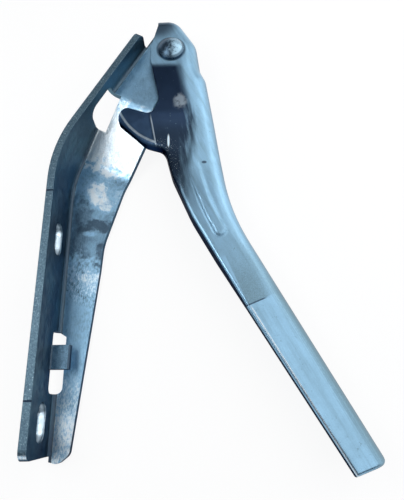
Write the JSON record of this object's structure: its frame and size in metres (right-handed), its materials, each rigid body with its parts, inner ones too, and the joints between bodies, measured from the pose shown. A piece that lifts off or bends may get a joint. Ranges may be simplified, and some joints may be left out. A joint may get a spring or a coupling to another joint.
{
  "type": "bonnet hinge",
  "caption": "Stamped steel car bonnet hinge: a slotted L-section body leaf and a swan-necked arm with a hook lug, turning on a riveted pivot.",
  "frame": {"origin": "on the body leaf's mounting face, midway between the two slots", "axes": "-X is the mounting face's outward normal, +Y runs up the leaf towards the pivot, +Z is the pivot's axis towards the rivet head"},
  "size_m": [0.1508, 0.2439, 0.0315],
  "materials": {
    "leaf_steel": "zinc plated, semi-gloss, scuffed",
    "arm_steel": "zinc plated, semi-gloss, scuffed",
    "rivet_steel": "zinc plated, satin",
    "bush_bronze": "oiled satin"
  },
  "bodies": {
    "leaf": {"body_leaf": "leaf_steel", "pivot_rivet": "rivet_steel"},
    "arm": {"bonnet_arm": "arm_steel", "pivot_bush": "bush_bronze"}
  },
  "joints": [
    {"name": "arm_swing", "type": "hinge", "parent": "leaf", "child": "arm", "pos_m": [0.0595, 0.154, 0], "axis": [0, 0, 1], "range_deg": [-27.5, 22]}
  ]
}
